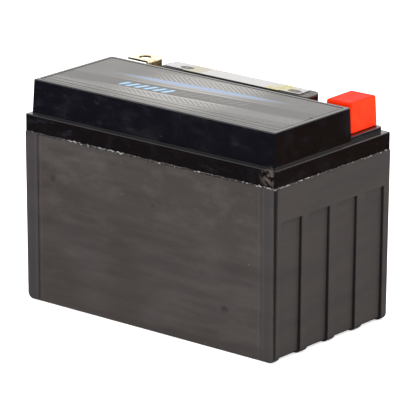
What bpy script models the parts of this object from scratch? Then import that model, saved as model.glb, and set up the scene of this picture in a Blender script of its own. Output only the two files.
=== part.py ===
"""Sealed 12 V motorcycle battery, as an assembly of its real pieces.

Metres, +Z up. The origin is the middle of the bottom, +X runs along the battery and +Y points to the side
with the terminals. Six cells stand in a row along X; cell 1 is at -X.
"""

import math

import bmesh
import bpy

# Driving dimensions, outside
LENGTH = 0.150
WIDTH = 0.086
SEAM_Z = 0.0822
FLANGE_TOP_Z = 0.0909
SHELF_TOP_Z = 0.0933
BLOCK_TOP_Z = 0.1074
GAP = 0.0003

# Case
CASE_DRAFT = 0.00045
CASE_WALL_Y = 0.0027
CASE_WALL_X = 0.0045
FLOOR = 0.0022
FOOT_RADIUS = 0.0030
CASE_EDGE_RADIUS = 0.0011
RIBS = 5
RIB_PITCH = 0.0204
RIB_WIDTH = 0.0052
RECESS_TOP_Z = 0.0660
RECESS_DEPTH_LOW = 0.0017
RECESS_DEPTH_HIGH = 0.0014
FOOT_HEIGHT = 0.0018
FOOT_DEPTH = 0.0044
PANEL_HALF_X = 0.0670
PANEL_DEPTH = 0.0004

# Cells
CELLS = 6
PARTITION = 0.0016
CELL_WIDTH = (LENGTH - 2 * CASE_WALL_X - (CELLS - 1) * PARTITION) / CELLS
CELL_PITCH = CELL_WIDTH + PARTITION
CELL_HALF_Y = WIDTH / 2 - CASE_WALL_Y

# Lid
FLANGE_INSET = 0.0004
FLANGE_RADIUS = 0.0006
LID_BOTTOM_Z = SEAM_Z + GAP
LID_WALL = 0.0020
BLOCK_HALF_X = 0.0724
BLOCK_FRONT_Y = -0.0405
BLOCK_BACK_Y = 0.0164
BLOCK_DRAFT = 0.0007
BLOCK_FRONT_RADIUS = 0.0006
BLOCK_LEFT_RADIUS = 0.0016
BLOCK_RIGHT_RADIUS = 0.0007
SHELF_HALF_X = 0.0715
SHELF_BACK_Y = 0.0411
SHELF_RADIUS = 0.0022
EDGE_ROUNDING = 0.0004

# Labels
LABEL_RIM = 0.0020
LABEL_RECESS = 0.0007
LABEL_THICKNESS = 0.00025
LABEL_RADIUS = 0.0012
STRIP_LABEL_THICKNESS = 0.00015
STRIP_LABEL_NARROWING = 0.0009
STRIP_LABEL_LOW_MARGIN = 0.0016
STRIP_LABEL_HIGH_MARGIN = 0.0058
STRIP_LABEL_END = 0.0118

# Filling bridge between the terminals, and the plug strip on it
BRIDGE_LOW_X = -0.0420
BRIDGE_HIGH_X = 0.0460
BRIDGE_BACK_Y = 0.0282
BRIDGE_TOP_Z = 0.1062
BRIDGE_NEAR_RADIUS = 0.0016
BRIDGE_FAR_RADIUS = 0.0048
DUCT_TOP_Z = 0.1034
PLUG_PITCH = 0.0130
PLUG_ROW_X = 0.0030
PLUG_ROW_Y = 0.0216
FILL_HOLE_RADIUS = 0.0036
STRIP_TOP_Z = 0.1074
STRIP_SINK = 0.0008
STRIP_SINK_INSET = 0.0016
PLUG_RADIUS = 0.0033
PLUG_LENGTH = 0.0032

# Valve at the strip's -X end
VALVE_X = -0.0376
VALVE_BOSS_RADIUS = 0.0039
VALVE_BOSS_LOW_Z = 0.0984
VALVE_SEAT_Z = 0.1000
VALVE_WELL_RADIUS = 0.0026
GAS_BORE_RADIUS = 0.0009
GAS_PASSAGE_INSET = 0.0020
VALVE_RADIUS = 0.0022
VALVE_THICKNESS = 0.0012
VALVE_STEM_RADIUS = 0.0005
VALVE_STEM_LENGTH = 0.0013
ARRESTOR_STEP_Z = 0.1028
ARRESTOR_WELL_RADIUS = 0.0031
ARRESTOR_RADIUS = 0.0028
ARRESTOR_THICKNESS = 0.0018
VENT_GROOVE = 0.0006

# Terminals and the red cover
TERMINAL_X = 0.0610
TERMINAL_Y = 0.0278
TERMINAL_WIDTH = 0.0125
TERMINAL_DEPTH = 0.0104
TERMINAL_TOP_Z = 0.1062
TERMINAL_SHEET = 0.0010
TERMINAL_BEND = 0.0011
TERMINAL_HOLE_RADIUS = 0.0030
CAP_X = 0.0610
CAP_Y = 0.0303
CAP_TURN = math.radians(1.5)
CAP_LOW_Z = SHELF_TOP_Z + GAP
CAP_TOP_Z = 0.1077
CAP_TOP_SIZE = (0.0143, 0.0195)
CAP_LOW_SIZE = (0.0154, 0.0206)
CAP_WALL = 0.0006
CAP_RADIUS = 0.0009

# Plates, straps, posts
POSITIVE_PLATES = 4
POSITIVE_THICKNESS = 0.0017
NEGATIVE_THICKNESS = 0.00115
MAT_THICKNESS = 0.0005
PLATE_HALF_Y = 0.0375
PLATE_LOW_Z = 0.0032
PLATE_TOP_Z = 0.0660
MAT_TOP_Z = 0.0675
LUG_NEAR_Y = 0.0180
LUG_FAR_Y = 0.0270
STRAP_LOW_Z = 0.0700
STRAP_TOP_Z = 0.0726
STRAP_NEAR_Y = 0.0130
STRAP_FAR_Y = 0.0340
TOMBSTONE_TOP_Z = 0.0795
TOMBSTONE_THICKNESS = 0.0016
WELD_Y = 0.0225
WELD_Z = 0.0760
WELD_RADIUS = 0.0023
WELD_HALF_WIDTH = 0.0045
POST_RADIUS = 0.0030
SEAL_RADIUS = 0.0062
SEAL_LOW_Z = 0.0874

# How finely round shapes are divided, how far cutters pass a face and how far joined shapes overlap
ARC_STEPS = 4
SMALL_SIDES = 16
BORE_SIDES = 24
OVERSHOOT = 0.0010
OVERLAP = 0.0002
TOLERANCE = 1e-6
SMOOTH_ANGLE = math.radians(35)
FLAT_ANGLE = math.radians(1)


def clear_scene():
    for obj in list(bpy.data.objects):
        bpy.data.objects.remove(obj, do_unlink=True)


def new_collection(name):
    collection = bpy.data.collections.new(name)
    bpy.context.scene.collection.children.link(collection)
    return collection


clear_scene()
PARTS = new_collection("motorcycle_battery")
CUTTERS = new_collection("cutters")
CUTTERS.hide_render = True


# --- materials -------------------------------------------------------------------------------------------


def material(name, color, roughness, metallic=0.0):
    made = bpy.data.materials.new(name)
    made.use_nodes = True
    shader = made.node_tree.nodes["Principled BSDF"]
    shader.inputs["Base Color"].default_value = (*color, 1.0)
    shader.inputs["Roughness"].default_value = roughness
    shader.inputs["Metallic"].default_value = metallic
    return made


CASE_PLASTIC = material("case_plastic", (0.085, 0.080, 0.078), 0.45)
LID_PLASTIC = material("lid_plastic", (0.012, 0.012, 0.013), 0.22)
STRIP_PLASTIC = material("strip_plastic", (0.030, 0.030, 0.031), 0.38)
TOP_LABEL_FILM = material("top_label_film", (0.300, 0.290, 0.280), 0.35)
STRIP_LABEL_FILM = material("strip_label_film", (0.800, 0.790, 0.770), 0.45)
CAP_PLASTIC = material("cap_plastic", (0.900, 0.075, 0.020), 0.40)
BRASS = material("terminal_brass", (0.800, 0.600, 0.300), 0.25, 1.0)
LEAD = material("lead", (0.300, 0.310, 0.330), 0.50, 1.0)
POSITIVE_PASTE = material("positive_plate_paste", (0.110, 0.045, 0.025), 0.85)
NEGATIVE_PASTE = material("negative_plate_paste", (0.230, 0.240, 0.250), 0.80)
GLASS_MAT = material("glass_mat", (0.850, 0.850, 0.820), 0.95)
RUBBER = material("rubber", (0.020, 0.020, 0.020), 0.70)
SEAL_RESIN = material("seal_resin", (0.030, 0.030, 0.040), 0.35)
POROUS_PLASTIC = material("porous_plastic", (0.750, 0.750, 0.720), 0.90)


# --- shapes ----------------------------------------------------------------------------------------------


def add_object(name, mesh, film, location=(0, 0, 0)):
    """Puts a mesh in the scene: as a part if it has a material, else as a helper for a Boolean."""
    obj = bpy.data.objects.new(name, mesh)
    obj.location = location
    if film is None:
        CUTTERS.objects.link(obj)
        obj.hide_render = True
        obj.display_type = "WIRE"
    else:
        PARTS.objects.link(obj)
        mesh.materials.append(film)
    return obj


def mesh_from(bm, name):
    bm.normal_update()
    bmesh.ops.recalc_face_normals(bm, faces=bm.faces)
    mesh = bpy.data.meshes.new(name)
    bm.to_mesh(mesh)
    bm.free()
    return mesh


def tapered_cube(z_range, low_rect, high_rect=None):
    """A cube whose lower and upper faces are the rectangles (x0, x1, y0, y1)."""
    bm = bmesh.new()
    bmesh.ops.create_cube(bm, size=2)
    for vert in bm.verts:
        side_x, side_y, side_z = (value > 0 for value in vert.co)
        rect = (high_rect or low_rect) if side_z else low_rect
        vert.co = (rect[side_x], rect[2 + side_y], z_range[side_z])
    return bm


def prism(name, z_range, low_rect, high_rect=None, film=None, location=(0, 0, 0)):
    return add_object(name, mesh_from(tapered_cube(z_range, low_rect, high_rect), name), film, location)


def cylinder(name, radius, start, length, axis="Z", film=None, sides=SMALL_SIDES, location=(0, 0, 0)):
    """A cylinder from start, along +X or +Z."""
    bm = bmesh.new()
    bmesh.ops.create_cone(bm, cap_ends=True, segments=sides, radius1=radius, radius2=radius, depth=length)
    for vert in bm.verts:
        x, y, z = vert.co.x, vert.co.y, vert.co.z + length / 2
        along = (z, x, y) if axis == "X" else (x, y, z)
        vert.co = [value + offset for value, offset in zip(along, start)]
    obj = add_object(name, mesh_from(bm, name), film, location)
    smooth(obj)
    return obj


def quarter_arc(x, y, radius, quarter):
    """Points of a quarter circle round (x, y), counter-clockwise; quarter 0 starts at +X."""
    angles = [math.pi / 2 * (quarter + step / ARC_STEPS) for step in range(ARC_STEPS + 1)]
    return [(x + radius * math.cos(angle), y + radius * math.sin(angle)) for angle in angles]


def rounded_rectangle(rect, near, far_left, far_right):
    """Points round the rectangle (x0, x1, y0, y1), with the radii of its two -Y corners and of each +Y one."""
    x0, x1, y0, y1 = rect
    return [
        *quarter_arc(x1 - far_right, y1 - far_right, far_right, 0),
        *quarter_arc(x0 + far_left, y1 - far_left, far_left, 1),
        *quarter_arc(x0 + near, y0 + near, near, 2),
        *quarter_arc(x1 - near, y0 + near, near, 3),
    ]


def extruded(name, outline, thickness, film=None, location=(0, 0, 0), rotation=(0, 0, 0)):
    """A mesh from a flat outline, centred on its plane."""
    curve = bpy.data.curves.new(name, "CURVE")
    curve.dimensions = "2D"
    curve.fill_mode = "BOTH"
    curve.extrude = thickness / 2
    spline = curve.splines.new("POLY")
    spline.points.add(len(outline) - 1)
    for point, (x, y) in zip(spline.points, outline):
        point.co = (x, y, 0, 1)
    spline.use_cyclic_u = True
    source = bpy.data.objects.new(name + "_outline", curve)
    CUTTERS.objects.link(source)
    graph = bpy.context.evaluated_depsgraph_get()
    mesh = bpy.data.meshes.new_from_object(source.evaluated_get(graph), depsgraph=graph)
    mesh.name = name
    bpy.data.objects.remove(source, do_unlink=True)
    mesh.materials.clear()
    bm = bmesh.new()
    bm.from_mesh(mesh)
    bmesh.ops.remove_doubles(bm, verts=bm.verts, dist=TOLERANCE)
    bmesh.ops.recalc_face_normals(bm, faces=bm.faces)
    bm.to_mesh(mesh)
    bm.free()
    obj = add_object(name, mesh, film, location)
    obj.rotation_euler = rotation
    return obj


def slab(name, z_range, outline, film=None, location=(0, 0, 0)):
    """A flat outline standing from the first height to the second."""
    low, high = z_range
    x, y, z = location
    return extruded(name, outline, high - low, film, (x, y, z + (low + high) / 2))


def turned(name, profile, film, location, sides=SMALL_SIDES):
    """A solid of revolution: the profile (radius, height) runs from the axis at the top to the bottom."""
    bm = bmesh.new()
    verts = [bm.verts.new((radius, 0, height)) for radius, height in profile]
    for first, second in zip(verts, verts[1:]):
        bm.edges.new((first, second))
    mesh = bpy.data.meshes.new(name)
    bm.to_mesh(mesh)
    bm.free()
    obj = add_object(name, mesh, film, location)
    screw = obj.modifiers.new("turn", "SCREW")
    screw.steps = sides
    screw.render_steps = sides
    screw.use_merge_vertices = True
    screw.merge_threshold = TOLERANCE
    screw.use_smooth_shade = True
    return obj


def bevel_edges(bm, chosen, radius, segments):
    """Rounds the edges for which chosen(first end, second end) is true."""
    edges = [edge for edge in bm.edges if chosen(edge.verts[0].co, edge.verts[1].co)]
    bmesh.ops.bevel(bm, geom=edges, offset=radius, segments=segments, affect="EDGES", profile=0.5)


def boolean(target, tool, operation):
    modifier = target.modifiers.new(tool.name, "BOOLEAN")
    modifier.operation = operation
    modifier.object = tool
    return modifier


def cut(target, tool):
    boolean(target, tool, "DIFFERENCE")


def join(target, tool):
    boolean(target, tool, "UNION")


def smooth(obj):
    obj.data.shade_smooth()
    obj.data.set_sharp_from_angle(angle=SMOOTH_ANGLE)


# --- places that several pieces share --------------------------------------------------------------------


def cell_x(cell):
    return (cell - (CELLS + 1) / 2) * CELL_PITCH


def partition_x(index):
    """The wall between cell index and the next."""
    return cell_x(index) + CELL_PITCH / 2


def plug_x(index):
    return PLUG_ROW_X + (index - (CELLS + 1) / 2) * PLUG_PITCH


def duct_wall_x(index):
    """Where the wall between two filling ducts meets the bridge's roof."""
    return plug_x(index) + PLUG_PITCH / 2


def positive_side(cell):
    """The Y side of a cell's positive strap. It alternates, so that neighbours can be welded."""
    return -1 if cell % 2 else 1


# --- case ------------------------------------------------------------------------------------------------


def case_outer():
    half_x = LENGTH / 2
    half_y = WIDTH / 2
    top = (-half_x, half_x, -half_y, half_y)
    bottom = (-half_x + CASE_DRAFT, half_x - CASE_DRAFT, -half_y + CASE_DRAFT, half_y - CASE_DRAFT)
    bm = tapered_cube((0, SEAM_Z), bottom, top)
    bevel_edges(bm, lambda a, b: max(a.z, b.z) < TOLERANCE and abs(a.x - b.x) < TOLERANCE, FOOT_RADIUS, 4)
    inner_y = half_y - 2 * CASE_DRAFT

    def bounds_long_wall(a, b):
        same_side = a.y * b.y > 0 and min(abs(a.y), abs(b.y)) > inner_y
        return same_side and min(a.z, b.z) < SEAM_Z - TOLERANCE

    bevel_edges(bm, bounds_long_wall, CASE_EDGE_RADIUS, 3)
    return add_object("case", mesh_from(bm, "case"), CASE_PLASTIC)


def cut_end_recesses(case):
    """The hollows between the ribs on both end walls, with the bottom cut back so that the ribs end in feet."""
    half_x = LENGTH / 2
    low_x = half_x - CASE_DRAFT - RECESS_DEPTH_LOW
    high_x = half_x - CASE_DRAFT * (1 - RECESS_TOP_Z / SEAM_Z) - RECESS_DEPTH_HIGH
    out_x = half_x + OVERSHOOT
    for index in range(RIBS - 1):
        low_y = (index - (RIBS - 1) / 2) * RIB_PITCH + RIB_WIDTH / 2
        high_y = low_y + RIB_PITCH - RIB_WIDTH
        for side, label in ((1, "right"), (-1, "left")):
            low = sorted((side * low_x, side * out_x))
            high = sorted((side * high_x, side * out_x))
            name = f"recess_{label}_{index + 1}"
            z_range = (-OVERSHOOT, RECESS_TOP_Z)
            cut(case, prism(name, z_range, (*low, low_y, high_y), (*high, low_y, high_y)))
            between = sorted((side * (half_x - FOOT_DEPTH), side * out_x))
            name = f"foot_gap_{label}_{index + 1}"
            cut(case, prism(name, (-OVERSHOOT, FOOT_HEIGHT), (*between, low_y, high_y)))


def cut_long_panels(case):
    """The slightly sunk middle panel of both long walls."""
    low_y = WIDTH / 2 - CASE_DRAFT - PANEL_DEPTH
    high_y = WIDTH / 2 - PANEL_DEPTH
    out_y = WIDTH / 2 + OVERSHOOT
    for side, label in ((1, "back"), (-1, "front")):
        low = sorted((side * low_y, side * out_y))
        high = sorted((side * high_y, side * out_y))
        across = (-PANEL_HALF_X, PANEL_HALF_X)
        z_range = (-OVERSHOOT, SEAM_Z + OVERSHOOT)
        cut(case, prism(f"panel_{label}", z_range, (*across, *low), (*across, *high)))


def cut_cells(case):
    for cell in range(1, CELLS + 1):
        half = CELL_WIDTH / 2
        rect = (cell_x(cell) - half, cell_x(cell) + half, -CELL_HALF_Y, CELL_HALF_Y)
        cut(case, prism(f"cell_{cell}", (FLOOR, SEAM_Z + OVERSHOOT), rect))
    for index in range(1, CELLS):
        start = (partition_x(index) - PARTITION, positive_side(index) * WELD_Y, WELD_Z)
        cut(case, cylinder(f"weld_hole_{index}", WELD_RADIUS + GAP, start, 2 * PARTITION, "X"))


def build_case():
    case = case_outer()
    cut_end_recesses(case)
    cut_long_panels(case)
    cut_cells(case)
    smooth(case)


# --- lid -------------------------------------------------------------------------------------------------


def drafted_slab(name, z_range, rect, radii, draft=0, film=None):
    """A rounded rectangle standing up, narrowing by draft on each side, with its top edge rounded."""
    obj = slab(name, z_range, rounded_rectangle(rect, *radii), film)
    x0, x1, y0, y1 = rect
    middle_x = (x0 + x1) / 2
    middle_y = (y0 + y1) / 2
    narrow_x = 1 - 2 * draft / (x1 - x0)
    narrow_y = 1 - 2 * draft / (y1 - y0)
    bm = bmesh.new()
    bm.from_mesh(obj.data)
    for vert in bm.verts:
        if vert.co.z > 0:
            vert.co.x = middle_x + (vert.co.x - middle_x) * narrow_x
            vert.co.y = middle_y + (vert.co.y - middle_y) * narrow_y
    bmesh.ops.dissolve_limit(bm, angle_limit=FLAT_ANGLE, verts=bm.verts, edges=bm.edges)
    top = max(vert.co.z for vert in bm.verts)
    bevel_edges(bm, lambda a, b: min(a.z, b.z) > top - TOLERANCE, EDGE_ROUNDING, 2)
    bm.to_mesh(obj.data)
    bm.free()
    return obj


def lid_outer():
    half_x = LENGTH / 2 - FLANGE_INSET
    half_y = WIDTH / 2 - FLANGE_INSET
    rect = (-half_x, half_x, -half_y, half_y)
    radii = (FLANGE_RADIUS, FLANGE_RADIUS, FLANGE_RADIUS)
    lid = drafted_slab("lid", (LID_BOTTOM_Z, FLANGE_TOP_Z), rect, radii, film=LID_PLASTIC)

    root_z = FLANGE_TOP_Z - OVERSHOOT
    shelf = (-SHELF_HALF_X, SHELF_HALF_X, BLOCK_BACK_Y - LID_WALL, SHELF_BACK_Y)
    radii = (EDGE_ROUNDING, SHELF_RADIUS, SHELF_RADIUS)
    join(lid, drafted_slab("shelf", (root_z, SHELF_TOP_Z), shelf, radii))

    block = (-BLOCK_HALF_X, BLOCK_HALF_X, BLOCK_FRONT_Y, BLOCK_BACK_Y)
    radii = (BLOCK_FRONT_RADIUS, BLOCK_LEFT_RADIUS, BLOCK_RIGHT_RADIUS)
    join(lid, drafted_slab("block", (root_z, BLOCK_TOP_Z), block, radii, BLOCK_DRAFT))

    bridge = (BRIDGE_LOW_X, BRIDGE_HIGH_X, BLOCK_BACK_Y - LID_WALL, BRIDGE_BACK_Y)
    outline = rounded_rectangle(bridge, EDGE_ROUNDING, BRIDGE_FAR_RADIUS, BRIDGE_FAR_RADIUS)
    join(lid, slab("bridge", (root_z, BRIDGE_TOP_Z), outline))
    return lid


def label_outline(margin):
    """The rounded rectangle of the label's recess, or with a margin that of the label in it."""
    x = BLOCK_HALF_X - BLOCK_DRAFT - LABEL_RIM - margin
    low_y = BLOCK_FRONT_Y + BLOCK_DRAFT + LABEL_RIM + margin
    high_y = BLOCK_BACK_Y - BLOCK_DRAFT - LABEL_RIM - margin
    return rounded_rectangle((-x, x, low_y, high_y), LABEL_RADIUS, LABEL_RADIUS, LABEL_RADIUS)


def cut_label_recess(lid):
    z_range = (BLOCK_TOP_Z - LABEL_RECESS, BLOCK_TOP_Z + OVERSHOOT)
    cut(lid, slab("label_recess", z_range, label_outline(0)))


def cut_lid_chambers(lid):
    """Three rows of chambers over the cells: under the block, under the bridge and under the shelf."""
    low_z = LID_BOTTOM_Z - OVERSHOOT
    roof_z = BLOCK_TOP_Z - LABEL_RECESS - LID_WALL
    shelf_roof_z = SHELF_TOP_Z - LID_WALL
    end_x = BLOCK_HALF_X - LID_WALL
    block_y = (BLOCK_FRONT_Y + LID_WALL, BLOCK_BACK_Y - LID_WALL)
    bridge_y = (BLOCK_BACK_Y, BRIDGE_BACK_Y - LID_WALL)
    shelf_y = (BRIDGE_BACK_Y - OVERLAP, SHELF_BACK_Y - LID_WALL)
    for cell in range(1, CELLS + 1):
        low_x = max(cell_x(cell) - CELL_WIDTH / 2, -end_x)
        high_x = min(cell_x(cell) + CELL_WIDTH / 2, end_x)
        cut(lid, prism(f"block_chamber_{cell}", (low_z, roof_z), (low_x, high_x, *block_y)))
        near_y = bridge_y[0] if cell in (1, CELLS) else shelf_y[0]
        chamber = (low_x, high_x, near_y, shelf_y[1])
        cut(lid, prism(f"shelf_chamber_{cell}", (low_z, shelf_roof_z), chamber))
    across = (cell_x(1), cell_x(CELLS))
    cut(lid, prism("duct_floor", (low_z, shelf_roof_z), (*across, *bridge_y)))
    inside = (BRIDGE_LOW_X + LID_WALL, BRIDGE_HIGH_X - LID_WALL)
    cut(lid, prism("duct_space", (shelf_roof_z - OVERSHOOT, DUCT_TOP_Z), (*inside, *bridge_y)))


def add_duct_walls(lid):
    """Slanting walls that lead each filling hole to its own cell."""
    z_range = (LID_BOTTOM_Z, DUCT_TOP_Z + OVERLAP)
    y_range = (BLOCK_BACK_Y - OVERLAP, BRIDGE_BACK_Y - LID_WALL + OVERLAP)
    half = PARTITION / 2
    for index in range(1, CELLS):
        low_x = partition_x(index)
        high_x = duct_wall_x(index)
        low = (low_x - half, low_x + half, *y_range)
        high = (high_x - half, high_x + half, *y_range)
        join(lid, prism(f"duct_wall_{index}", z_range, low, high))


def cut_filling_holes(lid):
    for index in range(1, CELLS + 1):
        start = (plug_x(index), PLUG_ROW_Y, DUCT_TOP_Z - OVERSHOOT)
        length = BRIDGE_TOP_Z - DUCT_TOP_Z + 2 * OVERSHOOT
        cut(lid, cylinder(f"filling_hole_{index}", FILL_HOLE_RADIUS, start, length))
    z_range = (BRIDGE_TOP_Z - STRIP_SINK, BRIDGE_TOP_Z + OVERSHOOT)
    cut(lid, prism("strip_seat", z_range, strip_sink_rect(0)))


def cut_valve_well(lid):
    """The stepped well of the valve, the nozzle under it and the groove that lets the gas out."""
    at = (VALVE_X, PLUG_ROW_Y)
    top_z = BRIDGE_TOP_Z + OVERSHOOT
    boss_height = DUCT_TOP_Z + OVERLAP - VALVE_BOSS_LOW_Z
    join(lid, cylinder("valve_boss", VALVE_BOSS_RADIUS, (*at, VALVE_BOSS_LOW_Z), boss_height))
    cut(lid, cylinder("valve_well", VALVE_WELL_RADIUS, (*at, VALVE_SEAT_Z), top_z - VALVE_SEAT_Z))
    wide = top_z - ARRESTOR_STEP_Z
    cut(lid, cylinder("arrestor_well", ARRESTOR_WELL_RADIUS, (*at, ARRESTOR_STEP_Z), wide))
    nozzle = VALVE_SEAT_Z - VALVE_BOSS_LOW_Z + 2 * OVERSHOOT
    start = (*at, VALVE_BOSS_LOW_Z - OVERSHOOT)
    cut(lid, cylinder("valve_nozzle", GAS_BORE_RADIUS, start, nozzle))
    low_y = PLUG_ROW_Y - VENT_GROOVE
    groove = (BRIDGE_LOW_X - OVERSHOOT, VALVE_X, low_y, low_y + 2 * VENT_GROOVE)
    cut(lid, prism("vent_groove", (BRIDGE_TOP_Z - STRIP_SINK - VENT_GROOVE, top_z), groove))


def cut_gas_passage(lid):
    """One small bore through all the duct walls, so that every cell reaches the valve."""
    end_inset = LID_WALL + OVERSHOOT
    start = (BRIDGE_LOW_X + end_inset, BLOCK_BACK_Y + GAS_PASSAGE_INSET, DUCT_TOP_Z - GAS_PASSAGE_INSET)
    length = BRIDGE_HIGH_X - BRIDGE_LOW_X - 2 * end_inset
    cut(lid, cylinder("gas_passage", GAS_BORE_RADIUS, start, length, "X"))


def cut_post_holes(lid):
    for side, label in ((-1, "negative"), (1, "positive")):
        start = (side * TERMINAL_X, TERMINAL_Y, SHELF_TOP_Z - LID_WALL - OVERSHOOT)
        cut(lid, cylinder(f"{label}_post_hole", POST_RADIUS + GAP, start, LID_WALL + 2 * OVERSHOOT))


def build_lid():
    lid = lid_outer()
    cut_label_recess(lid)
    cut_lid_chambers(lid)
    add_duct_walls(lid)
    cut_filling_holes(lid)
    cut_valve_well(lid)
    cut_gas_passage(lid)
    cut_post_holes(lid)
    smooth(lid)


# --- labels ----------------------------------------------------------------------------------------------


def build_top_label():
    low_z = BLOCK_TOP_Z - LABEL_RECESS + GAP
    slab("top_label", (low_z, low_z + LABEL_THICKNESS), label_outline(GAP), TOP_LABEL_FILM)


# --- plug strip ------------------------------------------------------------------------------------------


def strip_sink_rect(margin):
    """The rectangle that the strip's thicker middle sinks into, or with a margin the middle itself."""
    inset = STRIP_SINK_INSET + margin
    near_y = BLOCK_BACK_Y + GAP
    return (BRIDGE_LOW_X + inset, BRIDGE_HIGH_X - inset, near_y + inset, BRIDGE_BACK_Y - inset)


def moved(rect, centre):
    x0, x1, y0, y1 = rect
    return (x0 - centre[0], x1 - centre[0], y0 - centre[1], y1 - centre[1])


def strip_centre():
    return (PLUG_ROW_X, PLUG_ROW_Y, 0)


def build_plug_strip():
    centre = strip_centre()
    plate = moved((BRIDGE_LOW_X, BRIDGE_HIGH_X, BLOCK_BACK_Y + GAP, BRIDGE_BACK_Y), centre)
    outline = rounded_rectangle(plate, BRIDGE_NEAR_RADIUS, BRIDGE_FAR_RADIUS, BRIDGE_FAR_RADIUS)
    plate_low_z = BRIDGE_TOP_Z + GAP
    strip = slab("plug_strip", (plate_low_z, STRIP_TOP_Z), outline, STRIP_PLASTIC, centre)

    sunk_z = plate_low_z - STRIP_SINK
    sunk_range = (sunk_z, plate_low_z + OVERLAP)
    join(strip, prism("strip_middle", sunk_range, moved(strip_sink_rect(GAP), centre), location=centre))
    for index in range(1, CELLS + 1):
        start = (plug_x(index) - centre[0], 0, sunk_z - PLUG_LENGTH)
        length = PLUG_LENGTH + OVERLAP
        join(strip, cylinder(f"plug_{index}", PLUG_RADIUS, start, length, location=centre))
    smooth(strip)
    return strip


def build_strip_label(strip):
    """A sticker that is a little narrower along its far side and on the near side of its two ends."""
    full_y = (BLOCK_BACK_Y + 2 * GAP, BRIDGE_BACK_Y - 2 * GAP)
    end_y = (full_y[0] + STRIP_LABEL_NARROWING, full_y[1] - STRIP_LABEL_NARROWING)
    end_x = (BRIDGE_LOW_X + STRIP_LABEL_LOW_MARGIN, BRIDGE_HIGH_X - STRIP_LABEL_HIGH_MARGIN)
    step_x = (end_x[0] + STRIP_LABEL_END, end_x[1] - STRIP_LABEL_END)
    outline = [
        (end_x[0], end_y[0]),
        (step_x[0], end_y[0]),
        (step_x[0], full_y[0]),
        (step_x[1], full_y[0]),
        (step_x[1], end_y[0]),
        (end_x[1], end_y[0]),
        (end_x[1], end_y[1]),
        (end_x[0], end_y[1]),
    ]
    centre = strip_centre()
    shifted = [(x - centre[0], y - centre[1]) for x, y in outline]
    low_z = STRIP_TOP_Z + GAP
    label = slab("strip_label", (low_z, low_z + STRIP_LABEL_THICKNESS), shifted, STRIP_LABEL_FILM)
    label.parent = strip
    label.location.z -= strip.location.z


# --- valve and flame arrestor ----------------------------------------------------------------------------


def build_safety_valve():
    """A rubber disc on the nozzle, with a stem that keeps it in the middle."""
    profile = (
        (0, VALVE_THICKNESS),
        (VALVE_RADIUS, VALVE_THICKNESS),
        (VALVE_RADIUS, 0),
        (VALVE_STEM_RADIUS, 0),
        (VALVE_STEM_RADIUS, -VALVE_STEM_LENGTH),
        (0, -VALVE_STEM_LENGTH),
    )
    turned("safety_valve", profile, RUBBER, (VALVE_X, PLUG_ROW_Y, VALVE_SEAT_Z + GAP))


def build_flame_arrestor():
    profile = ((0, ARRESTOR_THICKNESS), (ARRESTOR_RADIUS, ARRESTOR_THICKNESS), (ARRESTOR_RADIUS, 0), (0, 0))
    turned("flame_arrestor", profile, POROUS_PLASTIC, (VALVE_X, PLUG_ROW_Y, ARRESTOR_STEP_Z + GAP))


# --- terminals, posts, cover -----------------------------------------------------------------------------


def bracket_outline(half_x, half_z, side):
    """A C in X and Z, open towards the side given, with its two bends rounded outside."""
    inner_x = half_x - TERMINAL_SHEET
    inner_z = half_z - TERMINAL_SHEET
    bend_x = half_x - TERMINAL_BEND
    bend_z = half_z - TERMINAL_BEND
    points = [
        (-half_x, -half_z),
        *quarter_arc(bend_x, -bend_z, TERMINAL_BEND, 3),
        *quarter_arc(bend_x, bend_z, TERMINAL_BEND, 0),
        (-half_x, half_z),
        (-half_x, inner_z),
        (inner_x, inner_z),
        (inner_x, -inner_z),
        (-half_x, -inner_z),
    ]
    return [(-side * x, z) for x, z in points]


def build_terminal(label, side):
    """A folded bracket, open towards the battery's end, with a bolt hole in its top."""
    low_z = SHELF_TOP_Z + GAP
    half_z = (TERMINAL_TOP_Z - low_z) / 2
    outline = bracket_outline(TERMINAL_WIDTH / 2, half_z, side)
    place = (side * TERMINAL_X, TERMINAL_Y, low_z + half_z)
    upright = (math.pi / 2, 0, 0)
    terminal = extruded(f"{label}_terminal", outline, TERMINAL_DEPTH, BRASS, place, upright)
    start = (side * TERMINAL_X, TERMINAL_Y, TERMINAL_TOP_Z - TERMINAL_SHEET - OVERSHOOT)
    length = TERMINAL_SHEET + 2 * OVERSHOOT
    hole = cylinder(f"{label}_bolt_hole", TERMINAL_HOLE_RADIUS, start, length, sides=BORE_SIDES)
    cut(terminal, hole)
    smooth(terminal)


def build_post(label, side):
    low_z = STRAP_TOP_Z + GAP
    place = (side * TERMINAL_X, TERMINAL_Y, low_z)
    cylinder(f"{label}_post", POST_RADIUS, (0, 0, 0), SHELF_TOP_Z - low_z, film=LEAD, location=place)


def build_post_seal(label, side):
    inner = POST_RADIUS + GAP
    height = SHELF_TOP_Z - LID_WALL - GAP - SEAL_LOW_Z
    profile = ((inner, height), (SEAL_RADIUS, height), (SEAL_RADIUS, 0), (inner, 0), (inner, height))
    turned(f"{label}_post_seal", profile, SEAL_RESIN, (side * TERMINAL_X, TERMINAL_Y, SEAL_LOW_Z))


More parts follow.
